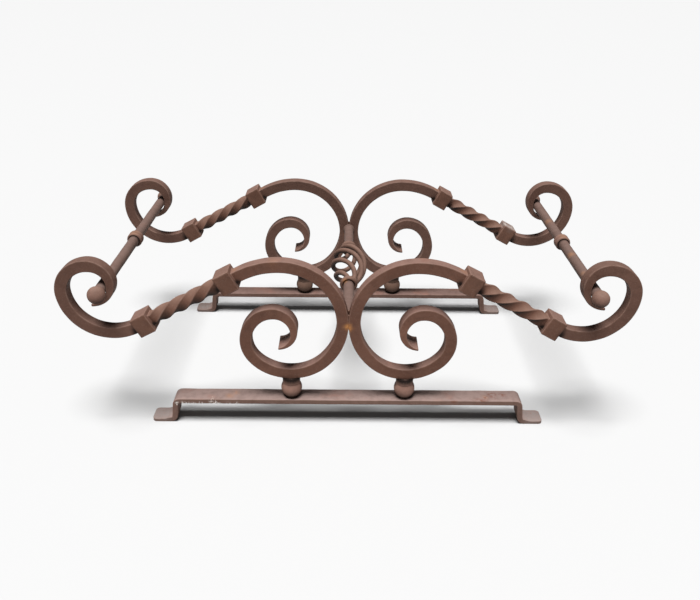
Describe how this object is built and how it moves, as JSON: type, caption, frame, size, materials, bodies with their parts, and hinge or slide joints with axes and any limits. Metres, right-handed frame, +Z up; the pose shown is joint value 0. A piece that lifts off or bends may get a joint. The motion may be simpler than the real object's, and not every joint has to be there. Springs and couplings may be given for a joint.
{
  "type": "scrollwork stand",
  "caption": "Low free-standing wrought-iron stand of scrolls and twisted bars, front and back frames joined by cross rods, on strap feet.",
  "frame": {"origin": "on the ground, midway between the two frames and midway between their left and right ends", "axes": "+X along the frames, from left to right seen from the front; +Y from the front frame to the rear frame; +Z up"},
  "size_m": [1.204, 0.622, 0.3912],
  "materials": {
    "scroll_iron": "matt rust-brown paint on forged bar",
    "twist_iron": "matt rust-brown paint on twisted bar",
    "collar_iron": "matt rust-brown paint, worn at the edges",
    "rail_iron": "matt faded rust-brown paint with rust stains and small chips",
    "rod_iron": "matt rust-brown paint, reddish where rubbed",
    "ball_iron": "matt rust-brown paint",
    "basket_iron": "matt rust-brown paint"
  },
  "bodies": {
    "root": {"basket_ring_front": "basket_iron", "basket_ring_rear": "basket_iron", "basket_wire_1": "basket_iron", "basket_wire_2": "basket_iron", "basket_wire_3": "basket_iron", "basket_wire_4": "basket_iron", "centre_rod_front": "rod_iron", "centre_rod_rear": "rod_iron", "finial_front_left": "ball_iron", "finial_front_right": "ball_iron", "finial_rear_left": "ball_iron", "finial_rear_right": "ball_iron", "foot_ball_front_left": "ball_iron", "foot_ball_front_right": "ball_iron", "foot_ball_rear_left": "ball_iron", "foot_ball_rear_right": "ball_iron", "foot_rail_front": "rail_iron", "foot_rail_rear": "rail_iron", "inner_scroll_front_left": "scroll_iron", "inner_scroll_front_right": "scroll_iron", "inner_scroll_rear_left": "scroll_iron", "inner_scroll_rear_right": "scroll_iron", "lower_collar_front_left": "collar_iron", "lower_collar_front_right": "collar_iron", "lower_collar_rear_left": "collar_iron", "lower_collar_rear_right": "collar_iron", "outer_scroll_front_left": "scroll_iron", "outer_scroll_front_right": "scroll_iron", "outer_scroll_rear_left": "scroll_iron", "outer_scroll_rear_right": "scroll_iron", "side_knop_left": "ball_iron", "side_knop_right": "ball_iron", "side_rod_left": "rod_iron", "side_rod_right": "rod_iron", "twisted_bar_front_left": "twist_iron", "twisted_bar_front_right": "twist_iron", "twisted_bar_rear_left": "twist_iron", "twisted_bar_rear_right": "twist_iron", "upper_collar_front_left": "collar_iron", "upper_collar_front_right": "collar_iron", "upper_collar_rear_left": "collar_iron", "upper_collar_rear_right": "collar_iron"}
  },
  "joints": []
}
